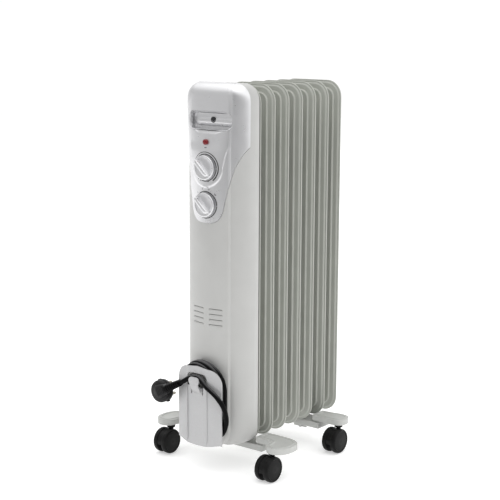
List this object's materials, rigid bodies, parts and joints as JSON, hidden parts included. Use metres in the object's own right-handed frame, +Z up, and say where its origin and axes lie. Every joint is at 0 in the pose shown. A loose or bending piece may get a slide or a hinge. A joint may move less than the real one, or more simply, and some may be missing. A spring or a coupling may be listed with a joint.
{
  "type": "oil filled radiator heater",
  "caption": "Portable oil filled radiator with a front control box, two knobs, a cord winder with plug, and a foot with twin-wheel swivel casters at each end.",
  "frame": {"origin": "centre of the footprint, on the floor", "axes": "+Z up, +X to the heater's right side as seen from the controls, -Y the way the control panel faces"},
  "size_m": [0.277, 0.3199, 0.6258],
  "materials": {
    "fin_paint": "satin warm grey stove enamel",
    "box_paint": "satin light grey enamel",
    "silver_plastic": "metallic silver painted moulding",
    "plate_silver": "metallic silver painted moulding",
    "foot_paint": "satin light grey paint",
    "caster_black": "black moulded nylon",
    "black_plastic": "black moulded plastic",
    "cord_black": "black flexible vinyl, satin",
    "red_lens": "translucent red moulding",
    "steel": "plated steel",
    "nickel": "nickel plated brass",
    "pale_plastic": "heat resistant moulding"
  },
  "bodies": {
    "root": {"fin_1": "fin_paint", "fin_2": "fin_paint", "fin_3": "fin_paint", "fin_4": "fin_paint", "fin_5": "fin_paint", "fin_6": "fin_paint", "fin_7": "fin_paint", "front_cover": "box_paint", "control_panel": "silver_plastic", "grip_insert": "silver_plastic", "grip_screw": "steel", "lamp_lens": "red_lens", "lamp_holder": "pale_plastic", "thermostat_body": "pale_plastic", "selector_switch": "pale_plastic", "back_plate": "steel", "thermal_cutout": "pale_plastic", "tilt_switch": "black_plastic", "element_flange": "steel", "oil_filler_plug": "steel", "heating_element_1": "steel", "heating_element_2": "steel", "winder_plate": "plate_silver", "winder_drum": "box_paint", "cord_gland": "black_plastic", "cord_winding": "cord_black", "power_cord": "cord_black", "plug_strain_relief": "cord_black", "plug_body": "black_plastic", "plug_pin_1": "nickel", "plug_pin_2": "nickel", "front_foot": "foot_paint", "rear_foot": "foot_paint", "front_u_bolt": "steel", "front_wing_nut_1": "steel", "front_wing_nut_2": "steel", "rear_u_bolt": "steel", "rear_wing_nut_1": "steel", "rear_wing_nut_2": "steel"},
    "thermostat_dial": {"thermostat_knob": "silver_plastic", "thermostat_shaft": "steel"},
    "selector_dial": {"selector_knob": "silver_plastic", "selector_shaft": "steel"},
    "front_left_caster_fork": {"front_left_caster_hood": "caster_black"},
    "front_left_caster_wheels": {"front_left_caster_axle": "steel", "front_left_caster_left_wheel": "caster_black", "front_left_caster_right_wheel": "caster_black"},
    "front_right_caster_fork": {"front_right_caster_hood": "caster_black"},
    "front_right_caster_wheels": {"front_right_caster_axle": "steel", "front_right_caster_left_wheel": "caster_black", "front_right_caster_right_wheel": "caster_black"},
    "rear_left_caster_fork": {"rear_left_caster_hood": "caster_black"},
    "rear_left_caster_wheels": {"rear_left_caster_axle": "steel", "rear_left_caster_left_wheel": "caster_black", "rear_left_caster_right_wheel": "caster_black"},
    "rear_right_caster_fork": {"rear_right_caster_hood": "caster_black"},
    "rear_right_caster_wheels": {"rear_right_caster_axle": "steel", "rear_right_caster_left_wheel": "caster_black", "rear_right_caster_right_wheel": "caster_black"}
  },
  "joints": [
    {"name": "thermostat_turn", "type": "hinge", "parent": "root", "child": "thermostat_dial", "pos_m": [0, -0.1295, 0.4945], "axis": [0, 1, 0], "range_deg": [-110, 190]},
    {"name": "selector_turn", "type": "hinge", "parent": "root", "child": "selector_dial", "pos_m": [0, -0.1295, 0.436], "axis": [0, 1, 0], "range_deg": [0, 90]},
    {"name": "front_left_caster_swivel", "type": "hinge", "parent": "root", "child": "front_left_caster_fork", "pos_m": [-0.109, -0.0914, 0.0471], "axis": [0, 0, 1], "continuous": true},
    {"name": "front_left_caster_roll", "type": "hinge", "parent": "front_left_caster_fork", "child": "front_left_caster_wheels", "pos_m": [-0.109, -0.1019, 0.0208], "axis": [1, 0, 0], "continuous": true},
    {"name": "front_right_caster_swivel", "type": "hinge", "parent": "root", "child": "front_right_caster_fork", "pos_m": [0.109, -0.0914, 0.0471], "axis": [0, 0, 1], "continuous": true},
    {"name": "front_right_caster_roll", "type": "hinge", "parent": "front_right_caster_fork", "child": "front_right_caster_wheels", "pos_m": [0.109, -0.1019, 0.0208], "axis": [1, 0, 0], "continuous": true},
    {"name": "rear_left_caster_swivel", "type": "hinge", "parent": "root", "child": "rear_left_caster_fork", "pos_m": [-0.109, 0.0906, 0.0471], "axis": [0, 0, 1], "continuous": true},
    {"name": "rear_left_caster_roll", "type": "hinge", "parent": "rear_left_caster_fork", "child": "rear_left_caster_wheels", "pos_m": [-0.109, 0.0801, 0.0208], "axis": [1, 0, 0], "continuous": true},
    {"name": "rear_right_caster_swivel", "type": "hinge", "parent": "root", "child": "rear_right_caster_fork", "pos_m": [0.109, 0.0906, 0.0471], "axis": [0, 0, 1], "continuous": true},
    {"name": "rear_right_caster_roll", "type": "hinge", "parent": "rear_right_caster_fork", "child": "rear_right_caster_wheels", "pos_m": [0.109, 0.0801, 0.0208], "axis": [1, 0, 0], "continuous": true}
  ]
}
